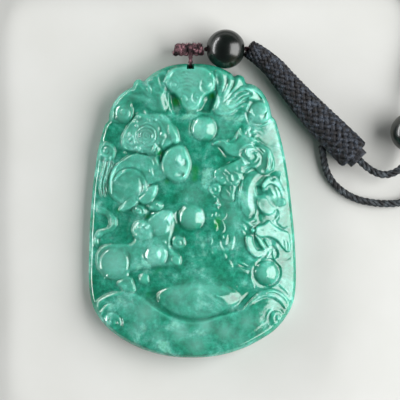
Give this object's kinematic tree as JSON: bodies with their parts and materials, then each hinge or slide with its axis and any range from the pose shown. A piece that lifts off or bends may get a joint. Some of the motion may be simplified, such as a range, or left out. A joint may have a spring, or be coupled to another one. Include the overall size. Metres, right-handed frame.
{
  "type": "carved jade pendant on a knotted neck cord",
  "caption": "Carved jade plaque pendant with raised bat, monkey, rat and dragon, on a knotted, beaded and braided neck cord, lying flat.",
  "frame": {"origin": "centre of the jade plaque's flat back, on the surface that it lies on", "axes": "+Y towards the plaque's top, +Z out of its carved front, +X to the right seen from the front"},
  "size_m": [0.0969, 0.1037, 0.0081],
  "materials": {
    "jade": "carved jadeite, polished, slightly translucent green with milky raised parts",
    "maroon_cord": "wound maroon silk cord, slightly fuzzy",
    "dark_bead": "polished dark brown-black bead",
    "braid_yarn": "woven maroon and brown cord",
    "dark_winding": "dark thread winding",
    "neck_cord": "thin twisted dark maroon cord"
  },
  "bodies": {
    "root": {"jade_plaque": "jade", "hanging_loop": "maroon_cord", "top_knot": "maroon_cord", "bead_thread": "maroon_cord", "top_bead": "dark_bead", "braid": "braid_yarn", "braid_whipping": "dark_winding", "end_bead": "dark_bead", "neck_cord": "neck_cord"}
  },
  "joints": []
}
